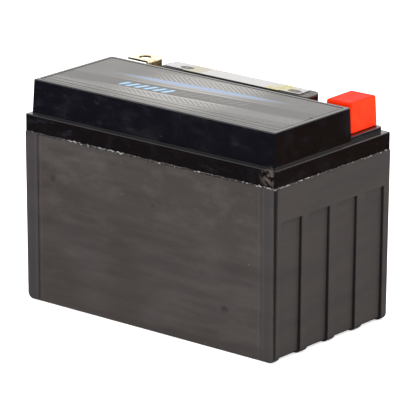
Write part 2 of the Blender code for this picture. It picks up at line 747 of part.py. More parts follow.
def build_terminal_cap():
    """A thin box, open below, over the positive terminal. It sits slightly askew."""
    low_x, low_y = (size / 2 for size in CAP_LOW_SIZE)
    top_x, top_y = (size / 2 for size in CAP_TOP_SIZE)
    height = CAP_TOP_Z - CAP_LOW_Z
    bm = tapered_cube((0, height), (-low_x, low_x, -low_y, low_y), (-top_x, top_x, -top_y, top_y))
    bottom = [face for face in bm.faces if all(vert.co.z < TOLERANCE for vert in face.verts)]
    bmesh.ops.delete(bm, geom=bottom, context="FACES_ONLY")
    bevel_edges(bm, lambda a, b: max(a.z, b.z) > height - TOLERANCE, CAP_RADIUS, 3)
    cap = add_object("terminal_cap", mesh_from(bm, "terminal_cap"), CAP_PLASTIC, (CAP_X, CAP_Y, CAP_LOW_Z))
    cap.rotation_euler.z = CAP_TURN
    shell = cap.modifiers.new("shell", "SOLIDIFY")
    shell.thickness = CAP_WALL
    shell.offset = -1
    shell.use_even_offset = True
    smooth(cap)


# --- plates, mats, straps --------------------------------------------------------------------------------


def plate_places(cell):
    """The middles in X of a cell's plates from -X to +X, negative plates first and last."""
    thickness = [NEGATIVE_THICKNESS, POSITIVE_THICKNESS] * POSITIVE_PLATES + [NEGATIVE_THICKNESS]
    between = MAT_THICKNESS + 2 * GAP
    x = cell_x(cell) - (sum(thickness) + between * (len(thickness) - 1)) / 2
    places = []
    for width in thickness:
        places.append(x + width / 2)
        x += width + between
    return places


def plate_outline(side):
    """One plate with the lug on its top edge, drawn in Y and Z."""
    lug = sorted((side * LUG_NEAR_Y, side * LUG_FAR_Y))
    return [
        (-PLATE_HALF_Y, PLATE_LOW_Z),
        (PLATE_HALF_Y, PLATE_LOW_Z),
        (PLATE_HALF_Y, PLATE_TOP_Z),
        (lug[1], PLATE_TOP_Z),
        (lug[1], STRAP_LOW_Z + OVERSHOOT),
        (lug[0], STRAP_LOW_Z + OVERSHOOT),
        (lug[0], PLATE_TOP_Z),
        (-PLATE_HALF_Y, PLATE_TOP_Z),
    ]


def build_plates(name, cell, places, thickness, side, weld_side, film):
    """One polarity of a cell: its plates cast onto a strap, with an upright for the weld if it has one."""
    half = thickness / 2
    strap_y = sorted((side * STRAP_NEAR_Y, side * STRAP_FAR_Y))
    strap_x = (min(places) - half, max(places) + half)
    if weld_side:
        wall_x = cell_x(cell) + weld_side * (CELL_WIDTH / 2 - GAP)
        strap_x = (min(strap_x[0], wall_x), max(strap_x[1], wall_x))
    pack = prism(name, (STRAP_LOW_Z, STRAP_TOP_Z), (*strap_x, *strap_y), film=film)
    if weld_side:
        upright_x = sorted((wall_x, wall_x - weld_side * TOMBSTONE_THICKNESS))
        middle_y = side * WELD_Y
        rect = (*upright_x, middle_y - WELD_HALF_WIDTH, middle_y + WELD_HALF_WIDTH)
        join(pack, prism(f"{name}_upright", (STRAP_TOP_Z - OVERLAP, TOMBSTONE_TOP_Z), rect))
    stand = (math.pi / 2, 0, math.pi / 2)
    for number, x in enumerate(places, start=1):
        plate = extruded(f"{name}_plate_{number}", plate_outline(side), thickness, None, (x, 0, 0), stand)
        join(pack, plate)


def mat_path(cell):
    """The glass mat's way between the plates, turning round each plate's end."""
    places = plate_places(cell)
    end_y = PLATE_HALF_Y + GAP + MAT_THICKNESS / 2
    path = []
    for index, (first, second) in enumerate(zip(places, places[1:])):
        first_half = NEGATIVE_THICKNESS / 2 if index % 2 == 0 else POSITIVE_THICKNESS / 2
        x = first + first_half + GAP + MAT_THICKNESS / 2
        ends = (-end_y, end_y) if index % 2 == 0 else (end_y, -end_y)
        path.extend((x, y) for y in ends)
    return path


def ribbon(path, thickness):
    """The outline of a ribbon along a path whose corners are right angles."""
    half = thickness / 2
    left, right = [], []
    for index, (x, y) in enumerate(path):
        normal_x = normal_y = 0
        for first, second in ((index - 1, index), (index, index + 1)):
            if 0 <= first and second < len(path):
                step_x = path[second][0] - path[first][0]
                step_y = path[second][1] - path[first][1]
                size = math.hypot(step_x, step_y)
                normal_x -= step_y / size
                normal_y += step_x / size
        left.append((x + half * normal_x, y + half * normal_y))
        right.append((x - half * normal_x, y - half * normal_y))
    return left + right[::-1]


def build_cell(cell):
    places = plate_places(cell)
    side = positive_side(cell)
    positive_weld = 0 if cell == CELLS else 1
    negative_weld = 0 if cell == 1 else -1
    name = f"positive_plates_{cell}"
    build_plates(name, cell, places[1::2], POSITIVE_THICKNESS, side, positive_weld, POSITIVE_PASTE)
    name = f"negative_plates_{cell}"
    build_plates(name, cell, places[0::2], NEGATIVE_THICKNESS, -side, negative_weld, NEGATIVE_PASTE)
    outline = ribbon(mat_path(cell), MAT_THICKNESS)
    slab(f"separator_{cell}", (FLOOR + GAP, MAT_TOP_Z), outline, GLASS_MAT)


def build_intercell_weld(index):
    """The lead slug between two uprights, through the hole in the partition."""
    place = (partition_x(index) - PARTITION / 2, positive_side(index) * WELD_Y, WELD_Z)
    cylinder(f"intercell_weld_{index}", WELD_RADIUS, (0, 0, 0), PARTITION, "X", LEAD, location=place)


def main():
    build_case()
    build_lid()
    build_top_label()
    build_strip_label(build_plug_strip())
    build_safety_valve()
    build_flame_arrestor()
    for label, side in (("negative", -1), ("positive", 1)):
        build_terminal(label, side)
        build_post(label, side)
        build_post_seal(label, side)
    build_terminal_cap()
    for cell in range(1, CELLS + 1):
        build_cell(cell)
    for index in range(1, CELLS):
        build_intercell_weld(index)


main()
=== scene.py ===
"""Motorcycle battery: materials, small surface details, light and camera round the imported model.

Metres, +Z up. The battery stands on z = 0, with +X along it and +Y towards the side with the terminals.
"""

import math
import random

import bmesh
import bpy
from mathutils import Matrix, Vector, noise

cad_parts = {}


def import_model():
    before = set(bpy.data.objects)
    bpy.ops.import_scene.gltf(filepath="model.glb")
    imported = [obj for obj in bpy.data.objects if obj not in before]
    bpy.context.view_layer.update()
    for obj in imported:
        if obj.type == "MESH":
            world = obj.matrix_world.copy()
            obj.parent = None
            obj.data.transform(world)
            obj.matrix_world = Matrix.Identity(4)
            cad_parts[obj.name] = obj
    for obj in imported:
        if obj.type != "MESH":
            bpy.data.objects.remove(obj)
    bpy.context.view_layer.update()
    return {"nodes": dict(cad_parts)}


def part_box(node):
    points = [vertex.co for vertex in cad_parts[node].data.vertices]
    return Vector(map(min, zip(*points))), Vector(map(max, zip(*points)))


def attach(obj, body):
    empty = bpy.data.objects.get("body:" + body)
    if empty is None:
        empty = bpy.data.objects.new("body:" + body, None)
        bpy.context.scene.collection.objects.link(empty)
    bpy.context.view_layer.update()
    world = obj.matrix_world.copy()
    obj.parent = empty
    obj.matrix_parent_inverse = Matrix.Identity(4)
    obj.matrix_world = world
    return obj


MM = 0.001

# Places on the battery, in millimetres.
RIB_PITCH = 20.4
RIB_WIDTH = 5.2
RECESS_TOP = 66.0
RECESS_MIDDLE_X = 73.5
END_WALL_X = 72.5
PANEL_END_X = 67.0
FLANGE_TOP = 90.9
BLOCK_CORNER_X = 72.2
BLOCK_CORNER_Y = 40.3

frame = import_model()
NODES = frame["nodes"]


# --- shader nodes ----------------------------------------------------------------------------------------


class Look:
    """One procedural material, with its patterns laid out in millimetres in the battery's own frame."""

    def __init__(self, name):
        self.material = bpy.data.materials.new(name)
        self.material.use_nodes = True
        self.tree = self.material.node_tree
        self.surface = self.tree.nodes["Principled BSDF"]
        place = self.tree.nodes.new("ShaderNodeTexCoord").outputs["Object"]
        scaled = self.add("ShaderNodeVectorMath", operation="SCALE")
        self.put(scaled.inputs["Vector"], place)
        self.put(scaled.inputs["Scale"], 1 / MM)
        self.place = scaled.outputs["Vector"]
        split = self.add("ShaderNodeSeparateXYZ")
        self.put(split.inputs[0], self.place)
        self.x, self.y, self.z = split.outputs

    def add(self, kind, **settings):
        made = self.tree.nodes.new(kind)
        for key, value in settings.items():
            setattr(made, key, value)
        return made

    def put(self, socket, value):
        """Links another node's output to a socket, or sets a plain value on it."""
        if isinstance(value, bpy.types.NodeSocket):
            self.tree.links.new(value, socket)
        elif socket.type == "RGBA" and len(value) == 3:
            socket.default_value = (*value, 1.0)
        else:
            socket.default_value = value

    def set(self, **values):
        """Sets the surface shader's own sockets: Base_Color=..., Roughness=..."""
        for key, value in values.items():
            self.put(self.surface.inputs[key.replace("_", " ")], value)

    def math(self, operation, first, second=0.0, third=0.0):
        made = self.add("ShaderNodeMath", operation=operation)
        for socket, value in zip(made.inputs, (first, second, third)):
            self.put(socket, value)
        return made.outputs[0]

    def stretched(self, scale):
        made = self.add("ShaderNodeVectorMath", operation="MULTIPLY")
        self.put(made.inputs[0], self.place)
        self.put(made.inputs[1], scale)
        return made.outputs[0]

    def noise(self, size, detail=3.0, rough=0.55, stretch=None, distortion=0.0):
        """Noise between 0 and 1 whose features are about size millimetres wide."""
        made = self.add("ShaderNodeTexNoise")
        self.put(made.inputs["Vector"], self.stretched(stretch) if stretch else self.place)
        self.put(made.inputs["Scale"], 1 / size)
        self.put(made.inputs["Detail"], detail)
        self.put(made.inputs["Roughness"], rough)
        self.put(made.inputs["Distortion"], distortion)
        return made.outputs["Fac"]

    def cells(self, size):
        """The distance to the nearest of many scattered points, in cells of size millimetres."""
        made = self.add("ShaderNodeTexVoronoi")
        self.put(made.inputs["Vector"], self.place)
        self.put(made.inputs["Scale"], 1 / size)
        return made.outputs["Distance"]

    def remap(self, value, low, high, to_low=0.0, to_high=1.0):
        """A smooth step of value from low..high to to_low..to_high."""
        made = self.add("ShaderNodeMapRange", interpolation_type="SMOOTHSTEP")
        for key, number in (("From Min", low), ("From Max", high), ("To Min", to_low), ("To Max", to_high)):
            self.put(made.inputs[key], number)
        self.put(made.inputs["Value"], value)
        return made.outputs["Result"]

    def mix(self, share, first, second):
        made = self.add("ShaderNodeMix", data_type="RGBA")
        self.put(made.inputs[0], share)
        self.put(made.inputs[6], first)
        self.put(made.inputs[7], second)
        return made.outputs[2]

    def band(self, value, middle, half, soft):
        """1 where value is within half of middle, falling to 0 over soft."""
        away = self.math("ABSOLUTE", self.math("SUBTRACT", value, middle))
        return self.remap(away, half, half + soft, 1.0, 0.0)

    def spot(self, centre, radius, soft):
        """1 within radius of a point, falling to 0 over soft."""
        made = self.add("ShaderNodeVectorMath", operation="DISTANCE")
        self.put(made.inputs[0], self.place)
        self.put(made.inputs[1], centre)
        return self.remap(made.outputs["Value"], radius, radius + soft, 1.0, 0.0)

    def product(self, *values):
        result = values[0]
        for value in values[1:]:
            result = self.math("MULTIPLY", result, value)
        return result

    def total(self, *values):
        result = values[0]
        for value in values[1:]:
            result = self.math("ADD", result, value)
        return result

    def bump(self, height, depth):
        """Raises the surface by depth millimetres where height is 1."""
        made = self.add("ShaderNodeBump")
        self.put(made.inputs["Height"], height)
        self.put(made.inputs["Distance"], depth * MM)
        self.put(made.inputs["Strength"], 1.0)
        self.put(self.surface.inputs["Normal"], made.outputs["Normal"])


def top_of(name):
    """The height of a node's top, in millimetres."""
    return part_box(name)[1].z / MM


def named(start):
    """The names of the nodes that start with a word."""
    return [name for name in NODES if name.startswith(start)]


def use(look, *names):
    """Puts a look on nodes, in place of their plain material."""
    for name in names:
        slots = NODES[name].data.materials
        slots.clear()
        slots.append(look.material)


# --- plastics --------------------------------------------------------------------------------------------


def case_look():
    """Satin polypropylene: warm and cool greys in long streaks, rubbed patches, dark marks, pale dust;
    painted light on the end walls, painted shade in corners.
    """
    look = Look("case_moulding")
    broad = look.noise(46, 2, 0.5)
    streaky = look.noise(7, 5, 0.65, stretch=(0.10, 0.10, 1))
    patchy = look.noise(14, 4, 0.6, distortion=0.4)
    color = look.mix(look.remap(broad, 0.38, 0.62), (0.043, 0.034, 0.031), (0.052, 0.044, 0.042))
    across = look.math("ABSOLUTE", look.x)
    # Painted light: the end walls are made lighter and warmer than the long sides.
    on_end = look.remap(across, END_WALL_X - 0.5, END_WALL_X + 0.5, 0, 0.9)
    color = look.mix(on_end, color, (0.074, 0.060, 0.036))
    color = look.mix(look.remap(streaky, 0.38, 0.66, 0, 0.6), color, (0.030, 0.024, 0.023))
    color = look.mix(look.remap(patchy, 0.56, 0.78, 0, 0.35), color, (0.031, 0.029, 0.032))
    rubbed = look.noise(9, 5, 0.7, stretch=(0.5, 0.5, 1))
    high = look.remap(look.z, 30, 72, 0.10, 0.28)
    color = look.mix(look.product(look.remap(rubbed, 0.45, 0.7), high), color, (0.105, 0.095, 0.090))
    stains = look.remap(look.cells(24), 0.055, 0.12, 0.6, 0)
    stains = look.product(stains, look.remap(look.noise(2.2, 3, 0.6), 0.38, 0.6))
    color = look.mix(stains, color, (0.016, 0.014, 0.016))
    specks = look.remap(look.cells(8), 0.035, 0.05, 1, 0)
    dust = look.product(specks, look.remap(look.noise(17), 0.5, 0.6, 0, 0.6))
    color = look.mix(dust, color, (0.22, 0.21, 0.20))
    past_panel = look.remap(across, PANEL_END_X - 0.1, PANEL_END_X + 0.2, 0, 0.7)
    color = look.mix(past_panel, color, (0.034, 0.030, 0.034))
    for line_x in (PANEL_END_X - 1.7, PANEL_END_X + 1.4):
        line = look.product(look.band(across, line_x, 0.08, 0.2), 0.35)
        color = look.mix(line, color, (0.085, 0.078, 0.074))
    # Painted shade: near-black lines in the corners of the end recesses.
    color = look.mix(look.product(recess_painted_shade(look), 0.85), color, (0.006, 0.006, 0.009))
    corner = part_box("case")[1] / MM
    # Painted shade at the case's two -Y upright corners.
    color = corner_shade(look, color, corner.x, corner.y)
    grain = look.noise(0.35, 2, 0.6)
    height = look.total(look.product(grain, 0.5), look.product(streaky, 0.9), look.product(patchy, 2.0))
    look.bump(height, 0.012)
    look.set(Base_Color=color, Roughness=look.remap(rubbed, 0.3, 0.8, 0.50, 0.38), IOR=1.46)
    return look


def corner_shade(look, color, x, y, share=1.0):
    """Painted shade that darkens the two upright corners at (+-x, -y)."""
    from_end = look.math("SUBTRACT", x, look.math("ABSOLUTE", look.x))
    from_wall = look.math("ADD", look.y, y)
    corner = look.product(look.remap(from_end, 0.5, 1.1, 1, 0), look.remap(from_wall, 1.0, 2.6, 1, 0))
    return look.mix(look.product(corner, share, 0.9), color, (0.003, 0.003, 0.004))


def recess_painted_shade(look):
    """Painted shade in the corner of each end recess, at its +Y rib."""
    corner = look.band(look.math("WRAP", look.y, RIB_PITCH, 0), RIB_PITCH - RIB_WIDTH / 2, 0.05, 0.12)
    depth = look.band(look.math("ABSOLUTE", look.x), RECESS_MIDDLE_X, 0.7, 0.3)
    return look.product(corner, depth, look.remap(look.z, RECESS_TOP - 0.5, RECESS_TOP + 0.3, 1, 0))


SCUFF = (71, -42.8, 87.5)
SCUFF_END_X = 73.9


def lid_look():
    """Glossy black moulding: haze, smudges, a corner scuff, painted reflection tints (bluish walls, browner
    flange and +X end) and painted shade at corners.
    """
    look = Look("lid_moulding")
    haze = look.noise(11, 4, 0.6, distortion=0.5)
    smudge = look.noise(6, 5, 0.65, stretch=(0.35, 0.35, 1))
    on_end = look.remap(look.x, BLOCK_CORNER_X - 0.8, BLOCK_CORNER_X - 0.3)
    off_end = look.math("SUBTRACT", 1, on_end)
    low = look.remap(look.z, FLANGE_TOP - 0.9, FLANGE_TOP + 0.6, 1, 0)
    # Painted reflection tints: the +X end and the flange browner, the -Y walls bluish.
    painted_face_tint = look.mix(on_end, (0.0026, 0.0024, 0.0048), (0.0042, 0.0018, 0.0010))
    painted_face_tint = look.mix(look.product(low, off_end), painted_face_tint, (0.0034, 0.0022, 0.0026))
    color = look.mix(look.remap(haze, 0.5, 0.8, 0, 0.5), painted_face_tint, (0.009, 0.009, 0.012))
    color = look.mix(look.remap(smudge, 0.58, 0.74, 0, 0.5), color, (0.017, 0.015, 0.018))
    wiped = look.remap(look.noise(7, 5, 0.7, stretch=(0.5, 0.5, 1)), 0.52, 0.70)
    wiped = look.product(wiped, look.remap(look.x, -30, 20, 0.8, 0.25))
    color = look.mix(wiped, color, (0.014, 0.012, 0.020))

    above_flange = look.remap(look.z, FLANGE_TOP, FLANGE_TOP + 0.2)
    # Painted shade at the block's two -Y upright corners, above the flange.
    color = corner_shade(look, color, BLOCK_CORNER_X, BLOCK_CORNER_Y, above_flange)
    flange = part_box("lid")[1] / MM
    # Painted shade at the flange's two -Y corners.
    color = corner_shade(look, color, flange.x, flange.y)
    scuff = look.product(look.spot(SCUFF, 1.8, 4.5), look.remap(look.noise(2.4, 4, 0.65), 0.42, 0.56))
    scuff = look.product(scuff, look.remap(look.x, SCUFF_END_X - 0.3, SCUFF_END_X + 0.3, 1, 0))
    color = look.mix(look.product(scuff, 0.75), color, (0.095, 0.075, 0.066))
    specks = look.remap(look.cells(6), 0.03, 0.05, 1, 0)
    dust = look.product(specks, look.remap(look.noise(13), 0.52, 0.62, 0, 0.5))
    color = look.mix(dust, color, (0.14, 0.13, 0.13))

    scratch = look.noise(1.6, 3, 0.7, stretch=(0.12, 0.12, 1))
    top = top_of("lid")
    on_top = look.remap(look.z, top - 0.4, top - 0.2)
    groove = look.product(look.band(look.y, 0.6 - BLOCK_CORNER_Y, 0.2, 0.5), on_top)
    height = look.total(look.product(haze, 1.6), look.product(scratch, 0.35), look.product(groove, -30.0))
    look.bump(height, 0.010)
    rough = look.total(look.remap(haze, 0.3, 0.8, 0.10, 0.22), look.product(scuff, 0.3))
    look.set(Base_Color=color, Roughness=rough, IOR=1.50)
    return look


def strip_look():
    """Satin black moulding, greyish except on most of its -Y side, which is near black."""
    look = Look("strip_moulding")
    haze = look.noise(5, 4, 0.6)
    color = look.mix(look.remap(haze, 0.4, 0.7), (0.040, 0.037, 0.035), (0.075, 0.070, 0.067))
    side_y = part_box("plug_strip")[0].y / MM
    # Most of the -Y side is made near black.
    on_side = look.remap(look.y, side_y + 0.2, side_y + 0.5, 1, 0)
    dark_side_mask = look.product(on_side, look.remap(look.x, 34, 38, 1, 0))
    color = look.mix(dark_side_mask, color, (0.003, 0.003, 0.003))
    look.bump(look.noise(0.4, 2, 0.6), 0.010)
    look.set(Base_Color=color, Roughness=look.remap(haze, 0.3, 0.7, 0.42, 0.55), IOR=1.48)
    return look


GATE_Y = 32.0


def cap_look():
    """Orange-red moulding with a soft sheen, faint rubbing, a top face painted darker as shade, and a small
    sunk gate mark on its top.
    """
    look = Look("cover_moulding")
    cloud = look.noise(6, 4, 0.6)
    color = look.mix(look.remap(cloud, 0.35, 0.7), (0.98, 0.028, 0.003), (1.0, 0.042, 0.006))
    rub = look.remap(look.noise(1.6, 4, 0.7, stretch=(1, 1, 0.4)), 0.62, 0.8, 0, 0.25)
    color = look.mix(rub, color, (1.0, 0.09, 0.03))
    top = top_of("terminal_cap")
    # Painted shade: the top face is made darker red.
    on_top = look.remap(look.z, top - 0.5, top - 0.1, 0, 0.9)
    color = look.mix(on_top, color, (0.84, 0.014, 0.0))
    gate = look.spot((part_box("terminal_cap")[0].x / MM + 2.2, GATE_Y, top), 0.35, 0.7)
    color = look.mix(look.product(gate, 0.5), color, (0.45, 0.020, 0.006))
    grain = look.product(look.noise(0.5, 2, 0.6), 0.6)
    look.bump(look.total(grain, look.product(cloud, 1.5), look.product(gate, -14.0)), 0.012)
    rough = look.remap(cloud, 0.3, 0.7, 0.42, 0.54)
    look.set(Base_Color=color, Roughness=rough, IOR=1.45, Specular_IOR_Level=0.07)
    return look


# --- printed films ---------------------------------------------------------------------------------------

# The top label's print slants, so most of it is placed by its distance in Y from the blue streak's middle.
STREAK_SLOPE = 0.092
STREAK_Y = -1.4
PRINT_MIDDLE_X = -2.0
PALE_INK = (0.34, 0.33, 0.325)
BLACK = (0.0, 0.0, 0.0)
END_MARKS_Y = (14.4, -9.4)
THIN_LINES = ((-6.3, 0.45, 0.45), (-18.9, 0.35, 0.7), (12.4, 0.25, 0.3), (-2.9, 0.7, 0.35))


def top_label_look():
    """Dark printed film: pale middle, blue streak, dashes, hatching, two black edges and two sunk grooves
    with painted shade.
    """
    look = Look("top_label_print")
    across = look.math("SUBTRACT", look.y, look.math("MULTIPLY_ADD", look.x, STREAK_SLOPE, STREAK_Y))
    from_middle = look.math("ABSOLUTE", look.math("SUBTRACT", look.x, PRINT_MIDDLE_X))
    dark_band = look.band(across, -13.0, 5.2, 0.5)
    color = label_ground(look, across, from_middle, dark_band)
    color = label_hatching(look, color, across, from_middle)
    color = label_streak(look, color, across, from_middle)
    blue = look.product(dashes(look, across, -22.0, 14.5, -13.4, 5.4), 0.95)
    color = look.mix(blue, color, (0.220, 0.460, 0.740))
    grey = look.product(dashes(look, across, 13.0, 19.5, -12.2, 5.0), 0.50)
    color = look.mix(grey, color, (0.110, 0.105, 0.098))

    low_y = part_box("top_label")[0].y / MM
    border = label_border(look, low_y)
    grooves = look.math(
        "MAXIMUM",
        look.band(look.y, low_y + 6.4, 0.25, 0.5),
        look.band(look.y, low_y + 2.6, 0.3, 0.6),
    )
    color = look.mix(border, color, BLACK)
    # Painted shade: the two sunk grooves are coloured black.
    color = look.mix(look.product(grooves, 0.9), color, BLACK)
    grain = look.noise(0.6, 3, 0.6)
    wavy = look.product(look.noise(9, 3, 0.5), 3.0)
    sunk = look.product(look.math("MAXIMUM", grooves, border), -40.0)
    look.bump(look.total(grain, wavy, sunk), 0.006)
    rough = look.remap(grain, 0.3, 0.7, 0.27, 0.34)
    rough = look.total(rough, look.product(dark_band, 0.05), look.product(border, 0.30))
    look.set(Base_Color=color, Roughness=rough, IOR=1.50)
    return look


def label_ground(look, across, from_middle, dark_band):
    """The film's own colour: nearly black, paler in the middle, with a dark band and pale ones below it."""
    cloud = look.noise(16, 3, 0.5)
    color = look.mix(look.remap(cloud, 0.35, 0.65), (0.012, 0.0095, 0.007), (0.024, 0.020, 0.016))
    color = look.mix(look.remap(from_middle, 3, 40, 1, 0), color, (0.118, 0.111, 0.103))
    color = look.mix(look.product(dark_band, 0.88), color, (0.016, 0.013, 0.011))
    below = look.band(across, -24.0, 3.4, 1.0)
    color = look.mix(look.product(below, 0.5), color, (0.085, 0.080, 0.077))
    foot = look.product(look.band(look.y, -29.5, 2.2, 1.0), look.remap(from_middle, 0, 34, 0.8, 0))
    return look.mix(foot, color, (0.20, 0.19, 0.175))


def label_hatching(look, color, across, from_middle):
    """Two fields of crossing hatch lines, and long thin lines beside them."""
    fields = look.total(look.band(across, 7.0, 3.6, 1.6), look.band(across, -22.8, 2.6, 1.2))
    fields = look.product(fields, look.remap(from_middle, 14, 36, 1, 0))
    pale = look.math("MULTIPLY", look.math("MULTIPLY_ADD", look.x, 0.8, across), 2.7)
    pale = look.remap(look.math("SINE", pale), 0.0, 0.9)
    dark = look.math("MULTIPLY", look.math("MULTIPLY_ADD", look.x, -0.5, across), 3.1)
    dark = look.remap(look.math("SINE", dark), 0.1, 0.9)
    color = look.mix(look.product(fields, pale, 0.75), color, PALE_INK)
    color = look.mix(look.product(fields, dark, 0.65), color, (0.02, 0.02, 0.02))
    for middle, half, share in THIN_LINES:
        line = look.product(look.band(across, middle, half, 0.5), look.remap(from_middle, 12, 52, share, 0))
        color = look.mix(line, color, PALE_INK)
    line = look.product(look.band(across, -27.7, 0.3, 0.3), look.remap(from_middle, 20, 60, 0.7, 0.1))
    return look.mix(line, color, (0.010, 0.009, 0.008))


def label_streak(look, color, across, from_middle):
    """The blue streak, which tapers and fades towards its ends, with a paler core."""
    taper = look.remap(from_middle, 12, 60, 2.3, 0.9)
    streak = look.remap(look.math("SUBTRACT", look.math("ABSOLUTE", across), taper), -0.8, 0.7, 1, 0)
    streak = look.product(streak, look.remap(from_middle, 20, 58, 1, 0))
    print_grain = look.remap(look.noise(1.1, 3, 0.7, stretch=(0.4, 1, 1)), 0.35, 0.65, 0.60, 0.92)
    color = look.mix(look.product(streak, print_grain), color, (0.130, 0.225, 0.400))
    core = look.product(look.band(across, 0.0, 0.3, 1.0), look.remap(from_middle, 4, 40, 0.45, 0))
    return look.mix(core, color, (0.170, 0.250, 0.400))


def label_border(look, low_y):
    """1 along the label's -Y and +X edges, less where they are worn, and on two marks at the +X edge."""
    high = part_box("top_label")[1] / MM
    from_end = look.math("SUBTRACT", high.x, look.x)
    from_side = look.math("SUBTRACT", look.y, low_y)
    wear = look.remap(look.noise(1.5, 3, 0.7), 0.35, 0.6, 0.25, 1)
    border = look.remap(look.math("MINIMUM", from_end, from_side), 0.15, 0.8, 1, 0)
    border = look.product(border, wear)
    for y in END_MARKS_Y:
        border = look.math("MAXIMUM", border, look.spot((high.x - 0.8, y, high.z), 0.4, 0.9))
    return border


def dashes(look, across, middle, half, level, height):
    """A row of plain slanting dashes around x = middle on the label."""
    leaning = look.math("MULTIPLY_ADD", across, -0.45, look.x)
    stroke = look.remap(look.math("SINE", look.math("MULTIPLY", leaning, 1.25)), -0.2, 0.5)
    along = look.band(look.x, middle, half - 1.0, 1.0)
    return look.product(stroke, along, look.band(across, level, height / 2, 0.5))


OVALS_X = (-29.0, 35.5)
OVALS_Y = 20.9


def strip_label_look():
    """White coated paper with cream and yellow patches of print and a dark oval mark near each end."""
    look = Look("strip_label_print")
    fine = look.noise(1.0, 4, 0.6)
    color = look.mix(look.remap(fine, 0.35, 0.65), (0.37, 0.36, 0.37), (0.44, 0.435, 0.44))
    wobble = look.math("MULTIPLY_ADD", look.noise(3, 2, 0.5), 2.4, look.x)
    cream = look.band(wobble, -22.0, 5.0, 1.0)
    color = look.mix(look.product(cream, 0.75), color, (0.34, 0.31, 0.21))
    yellow = look.band(wobble, 29.0, 7.0, 1.0)
    patches = look.remap(look.noise(3.2, 3, 0.6), 0.46, 0.56, 0.15, 1)
    color = look.mix(look.product(yellow, patches, 0.85), color, (0.38, 0.345, 0.075))
    soiled = look.product(look.remap(look.x, 30, 41), look.remap(look.noise(4, 4, 0.6), 0.35, 0.65))
    color = look.mix(look.product(soiled, 0.6), color, (0.15, 0.145, 0.14))
    for x in OVALS_X:
        color = look.mix(look.product(oval(look, x, OVALS_Y), 0.92), color, (0.018, 0.017, 0.016))
    look.bump(fine, 0.006)
    look.set(Base_Color=color, Roughness=look.remap(fine, 0.3, 0.7, 0.42, 0.52), IOR=1.46)
    return look


def oval(look, x, y):
    """A smudged oval ring on the strip's label."""
    away_x = look.math("DIVIDE", look.math("SUBTRACT", look.x, x), 3.6)
    away_y = look.math("DIVIDE", look.math("SUBTRACT", look.y, y), 2.0)
    radius = look.math("SQRT", look.total(look.product(away_x, away_x), look.product(away_y, away_y)))
    smudged = look.math("MULTIPLY_ADD", look.noise(1.4, 3, 0.6), 0.5, radius)
    return look.band(smudged, 0.85, 0.36, 0.2)


# --- metals and inner materials --------------------------------------------------------------------------


def brass_look():
    """Bright plated sheet: pale gold with tarnish in the bends and drawn grain."""
    look = Look("terminal_metal")
    top = top_of("negative_terminal")
    tarnish = look.noise(3.2, 5, 0.65, distortion=0.6)
    color = look.mix(look.remap(tarnish, 0.35, 0.7), (0.93, 0.86, 0.70), (0.80, 0.56, 0.24))
    below = look.remap(look.z, top - 2.4, top - 0.6, 1, 0)
    color = look.mix(look.product(below, 0.8), color, (0.88, 0.58, 0.16))
    spots = look.remap(look.noise(1.3, 3, 0.6), 0.56, 0.66, 0, 0.8)
    color = look.mix(look.product(spots, look.remap(below, 0, 1, 0.3, 1)), color, (0.20, 0.11, 0.04))
    drawn = look.noise(0.5, 3, 0.7, stretch=(1, 0.12, 1))
    dents = look.product(tarnish, look.remap(below, 0, 1, 2.4, 9.0))
    look.bump(look.total(look.product(drawn, 0.6), dents), 0.020)
    look.set(Base_Color=color, Roughness=look.remap(tarnish, 0.3, 0.7, 0.20, 0.34), Metallic=1.0)
    return look


def lead_look():
    """Dull cast lead with a mottled skin."""
    look = Look("cast_lead")
    cloud = look.noise(2.5, 5, 0.65)
    color = look.mix(look.remap(cloud, 0.35, 0.7), (0.26, 0.27, 0.29), (0.40, 0.41, 0.44))
    look.bump(look.total(cloud, look.product(look.noise(0.4, 2, 0.6), 0.4)), 0.06)
    look.set(Base_Color=color, Roughness=look.remap(cloud, 0.3, 0.7, 0.42, 0.62), Metallic=1.0)
    return look


def paste_look(name, dark, light):
    """Active material pressed into a lead grid, whose bars show faintly."""
    look = Look(name)
    crumbs = look.noise(0.7, 5, 0.7)
    cloud = look.noise(8, 3, 0.5)
    mottled = look.total(look.product(crumbs, 0.6), look.product(cloud, 0.4))
    color = look.mix(look.remap(mottled, 0.38, 0.62), dark, light)
    upright = look.math("SINE", look.product(look.y, 1.05))
    level = look.math("SINE", look.product(look.z, 0.8))
    bars = look.remap(look.math("MAXIMUM", upright, level), 0.93, 1.0)
    color = look.mix(look.product(bars, 0.35), color, (0.22, 0.22, 0.23))
    look.bump(look.total(crumbs, look.product(bars, 0.8)), 0.10)
    look.set(Base_Color=color, Roughness=look.remap(crumbs, 0.3, 0.7, 0.78, 0.92))
    return look


def mat_look():
    """White felt of fine glass strands."""
    look = Look("glass_fibre")
    strands = look.noise(0.35, 4, 0.7, stretch=(1, 0.25, 1))
    across = look.noise(0.35, 4, 0.7, stretch=(1, 1, 0.25))
    felt = look.math("MAXIMUM", strands, across)
    color = look.mix(look.remap(felt, 0.4, 0.75), (0.70, 0.70, 0.67), (0.90, 0.90, 0.87))
    look.bump(felt, 0.08)
    look.set(Base_Color=color, Roughness=look.remap(felt, 0.4, 0.7, 0.85, 0.98))
    return look


def rubber_look():
    """Matt black rubber."""
    look = Look("valve_rubber")
    cloud = look.noise(1.2, 4, 0.6)
    color = look.mix(look.remap(cloud, 0.35, 0.65), (0.014, 0.014, 0.014), (0.032, 0.031, 0.030))
    look.bump(look.noise(0.2, 2, 0.6), 0.02)
    look.set(Base_Color=color, Roughness=look.remap(cloud, 0.3, 0.7, 0.62, 0.78))
    return look


